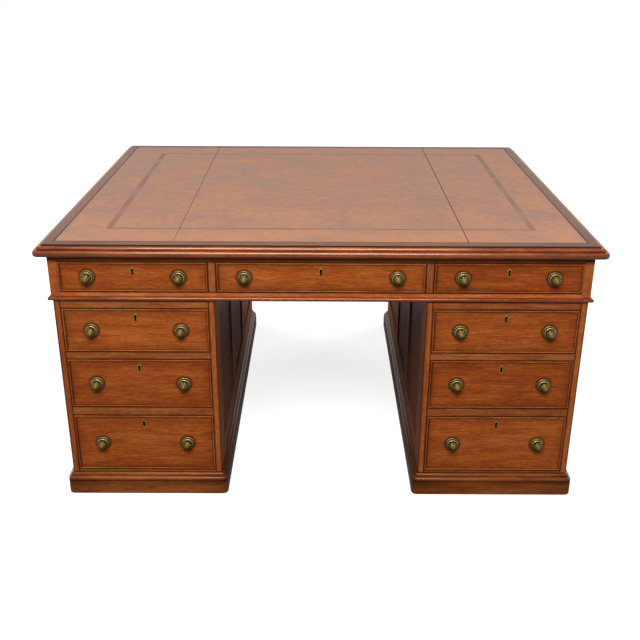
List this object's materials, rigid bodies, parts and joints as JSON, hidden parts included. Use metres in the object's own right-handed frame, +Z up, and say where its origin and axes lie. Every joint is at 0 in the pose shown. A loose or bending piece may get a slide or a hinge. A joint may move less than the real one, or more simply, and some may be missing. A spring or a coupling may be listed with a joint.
{
  "type": "partners desk",
  "caption": "Victorian mahogany pedestal partners desk: leather-lined moulded top, drawers to one side, drawers and cupboards to the other, on moulded plinths.",
  "frame": {"origin": "on the floor, under the centre of the top", "axes": "+X to the right of a person facing the front, +Y from the front to the back, +Z up"},
  "size_m": [1.532, 1.306, 0.769],
  "materials": {
    "mahogany": "french polished, satin",
    "plinth_mahogany": "french polished, worn",
    "lining_timber": "planed, unpolished",
    "hide": "waxed, blind tooled",
    "antique_brass": "aged and toned"
  },
  "bodies": {
    "carcass": {"top_border": "mahogany", "top_board": "lining_timber", "top_leather": "hide", "frieze_end_boards": "mahogany", "frieze_rails_and_runners": "mahogany", "frieze_partitions": "mahogany", "frieze_bead_moulding": "mahogany", "cupboard_hinge_leaves": "antique_brass", "left_pedestal_side_frames": "mahogany", "left_pedestal_side_panels": "mahogany", "left_pedestal_rails_and_runners": "mahogany", "left_pedestal_boards": "lining_timber", "left_pedestal_plinth": "plinth_mahogany", "right_pedestal_side_frames": "mahogany", "right_pedestal_side_panels": "mahogany", "right_pedestal_rails_and_runners": "mahogany", "right_pedestal_boards": "lining_timber", "right_pedestal_plinth": "plinth_mahogany"},
    "front_left_frieze_drawer": {"front_left_frieze_drawer_front": "mahogany", "front_left_frieze_drawer_case": "lining_timber", "front_left_frieze_drawer_brass": "antique_brass"},
    "front_centre_frieze_drawer": {"front_centre_frieze_drawer_front": "mahogany", "front_centre_frieze_drawer_case": "lining_timber", "front_centre_frieze_drawer_brass": "antique_brass"},
    "front_right_frieze_drawer": {"front_right_frieze_drawer_front": "mahogany", "front_right_frieze_drawer_case": "lining_timber", "front_right_frieze_drawer_brass": "antique_brass"},
    "back_left_frieze_drawer": {"back_left_frieze_drawer_front": "mahogany", "back_left_frieze_drawer_case": "lining_timber", "back_left_frieze_drawer_brass": "antique_brass"},
    "back_centre_frieze_drawer": {"back_centre_frieze_drawer_front": "mahogany", "back_centre_frieze_drawer_case": "lining_timber", "back_centre_frieze_drawer_brass": "antique_brass"},
    "back_right_frieze_drawer": {"back_right_frieze_drawer_front": "mahogany", "back_right_frieze_drawer_case": "lining_timber", "back_right_frieze_drawer_brass": "antique_brass"},
    "left_upper_drawer": {"left_upper_drawer_front": "mahogany", "left_upper_drawer_case": "lining_timber", "left_upper_drawer_brass": "antique_brass"},
    "left_middle_drawer": {"left_middle_drawer_front": "mahogany", "left_middle_drawer_case": "lining_timber", "left_middle_drawer_brass": "antique_brass"},
    "left_lower_drawer": {"left_lower_drawer_front": "mahogany", "left_lower_drawer_case": "lining_timber", "left_lower_drawer_brass": "antique_brass"},
    "right_upper_drawer": {"right_upper_drawer_front": "mahogany", "right_upper_drawer_case": "lining_timber", "right_upper_drawer_brass": "antique_brass"},
    "right_middle_drawer": {"right_middle_drawer_front": "mahogany", "right_middle_drawer_case": "lining_timber", "right_middle_drawer_brass": "antique_brass"},
    "right_lower_drawer": {"right_lower_drawer_front": "mahogany", "right_lower_drawer_case": "lining_timber", "right_lower_drawer_brass": "antique_brass"},
    "left_cupboard_door": {"left_cupboard_door_frame": "mahogany", "left_cupboard_door_panel": "mahogany", "left_cupboard_door_brass": "antique_brass"},
    "right_cupboard_door": {"right_cupboard_door_frame": "mahogany", "right_cupboard_door_panel": "mahogany", "right_cupboard_door_brass": "antique_brass"}
  },
  "joints": [
    {"name": "front_left_frieze_drawer_slide", "type": "slide", "parent": "carcass", "child": "front_left_frieze_drawer", "axis": [0, -1, 0], "range_m": [0, 0.4]},
    {"name": "front_centre_frieze_drawer_slide", "type": "slide", "parent": "carcass", "child": "front_centre_frieze_drawer", "axis": [0, -1, 0], "range_m": [0, 0.4]},
    {"name": "front_right_frieze_drawer_slide", "type": "slide", "parent": "carcass", "child": "front_right_frieze_drawer", "axis": [0, -1, 0], "range_m": [0, 0.4]},
    {"name": "back_left_frieze_drawer_slide", "type": "slide", "parent": "carcass", "child": "back_left_frieze_drawer", "axis": [0, 1, 0], "range_m": [0, 0.4]},
    {"name": "back_centre_frieze_drawer_slide", "type": "slide", "parent": "carcass", "child": "back_centre_frieze_drawer", "axis": [0, 1, 0], "range_m": [0, 0.4]},
    {"name": "back_right_frieze_drawer_slide", "type": "slide", "parent": "carcass", "child": "back_right_frieze_drawer", "axis": [0, 1, 0], "range_m": [0, 0.4]},
    {"name": "left_upper_drawer_slide", "type": "slide", "parent": "carcass", "child": "left_upper_drawer", "axis": [0, -1, 0], "range_m": [0, 0.4]},
    {"name": "left_middle_drawer_slide", "type": "slide", "parent": "carcass", "child": "left_middle_drawer", "axis": [0, -1, 0], "range_m": [0, 0.4]},
    {"name": "left_lower_drawer_slide", "type": "slide", "parent": "carcass", "child": "left_lower_drawer", "axis": [0, -1, 0], "range_m": [0, 0.4]},
    {"name": "right_upper_drawer_slide", "type": "slide", "parent": "carcass", "child": "right_upper_drawer", "axis": [0, -1, 0], "range_m": [0, 0.4]},
    {"name": "right_middle_drawer_slide", "type": "slide", "parent": "carcass", "child": "right_middle_drawer", "axis": [0, -1, 0], "range_m": [0, 0.4]},
    {"name": "right_lower_drawer_slide", "type": "slide", "parent": "carcass", "child": "right_lower_drawer", "axis": [0, -1, 0], "range_m": [0, 0.4]},
    {"name": "left_cupboard_door_hinge", "type": "hinge", "parent": "carcass", "child": "left_cupboard_door", "pos_m": [-0.70725, 0.6292, 0.162], "axis": [0, 0, 1], "range_deg": [0, 120]},
    {"name": "right_cupboard_door_hinge", "type": "hinge", "parent": "carcass", "child": "right_cupboard_door", "pos_m": [0.70725, 0.6292, 0.162], "axis": [0, 0, -1], "range_deg": [0, 120]}
  ]
}
